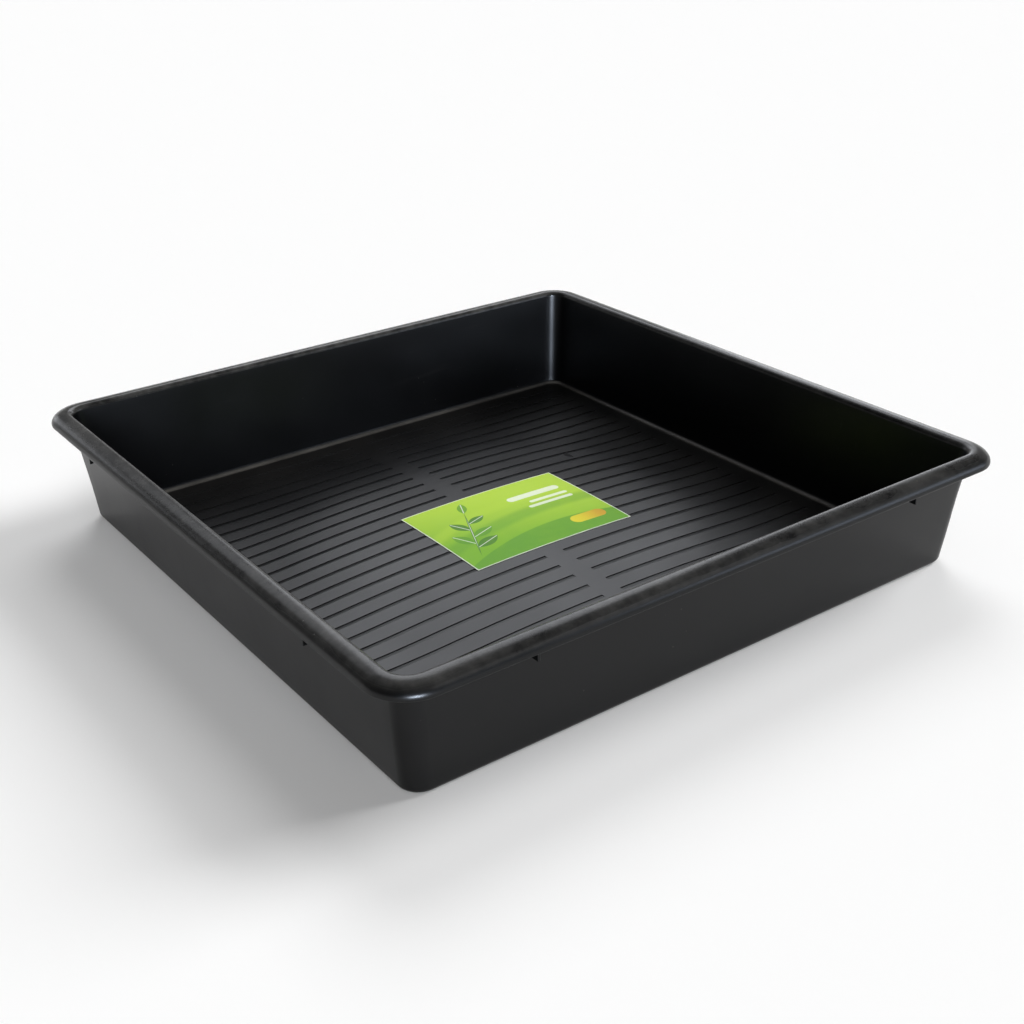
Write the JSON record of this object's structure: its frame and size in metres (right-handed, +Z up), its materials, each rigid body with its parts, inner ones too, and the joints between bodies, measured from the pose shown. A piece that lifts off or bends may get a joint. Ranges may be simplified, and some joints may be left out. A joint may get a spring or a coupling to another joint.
{
  "type": "potting tray",
  "caption": "Square shallow black plastic potting tray with leaning walls, a rolled rim, a crowned and finely grooved floor, and a printed green label stuck to the floor.",
  "frame": {"origin": "on the ground, under the middle of the tray", "axes": "+Z up; -Y is the side the label is read from and the near right wall in the picture; +X points to the picture's right corner along that wall"},
  "size_m": [0.7, 0.7, 0.121],
  "materials": {
    "black_plastic": "satin moulded black plastic",
    "label_print": "green print on satin paper"
  },
  "bodies": {
    "root": {"tray": "black_plastic", "label": "label_print"}
  },
  "joints": []
}
